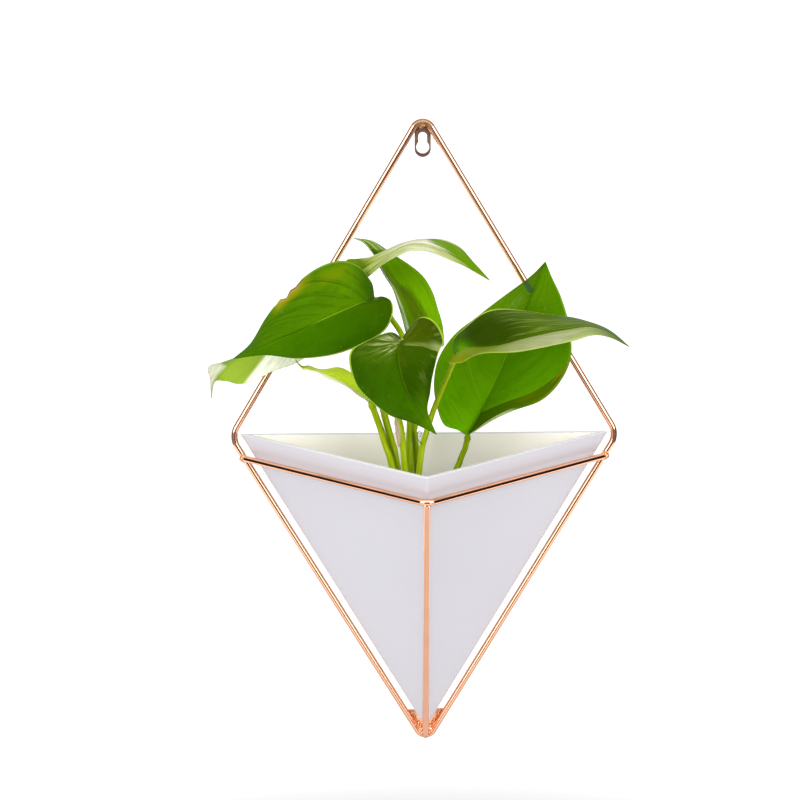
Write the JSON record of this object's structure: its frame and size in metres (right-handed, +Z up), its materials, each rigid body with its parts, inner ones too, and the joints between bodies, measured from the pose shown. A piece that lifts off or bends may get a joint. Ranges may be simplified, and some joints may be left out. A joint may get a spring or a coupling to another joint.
{
  "type": "wall planter",
  "caption": "Geometric wall planter: a copper rod frame hung by a keyhole plate, a lift-out white triangular pot and a leafy trailing plant in it.",
  "frame": {"origin": "centre of the hanging keyhole's round hole, on the wall plane", "axes": "+Z up, +Y into the wall, -Y out into the room, +X to the right for someone facing the wall"},
  "size_m": [0.2366, 0.1128, 0.3705],
  "materials": {
    "copper_plating": "polished",
    "dark_copper": "satin",
    "white_pot": "satin",
    "potting_mix": "matte",
    "leaf_stalk": "satin",
    "leaf_green": "satin",
    "young_leaf": "satin"
  },
  "bodies": {
    "frame": {"back_diamond": "copper_plating", "front_rail": "copper_plating", "front_strut": "copper_plating", "hanger_plate": "dark_copper", "bottom_gusset": "copper_plating", "weld_beads": "copper_plating"},
    "pot": {"planter_pot": "white_pot"},
    "plant": {"potting_soil": "potting_mix", "petiole_1": "leaf_stalk", "petiole_2": "leaf_stalk", "petiole_3": "leaf_stalk", "petiole_4": "leaf_stalk", "petiole_5": "leaf_stalk", "petiole_6": "leaf_stalk", "petiole_7": "leaf_stalk", "petiole_8": "leaf_stalk", "leaf_1": "leaf_green", "leaf_2": "young_leaf", "leaf_3": "young_leaf", "leaf_4": "leaf_green", "leaf_5": "leaf_green", "leaf_6": "leaf_green", "leaf_7": "leaf_green", "leaf_8": "leaf_green"}
  },
  "joints": [
    {"name": "pot_lift", "type": "slide", "parent": "frame", "child": "pot", "axis": [0, -0.4695, 0.8829], "range_m": [0, 0.2]},
    {"name": "plant_lift", "type": "slide", "parent": "pot", "child": "plant", "axis": [0, 0, 1], "range_m": [0, 0.15]}
  ]
}
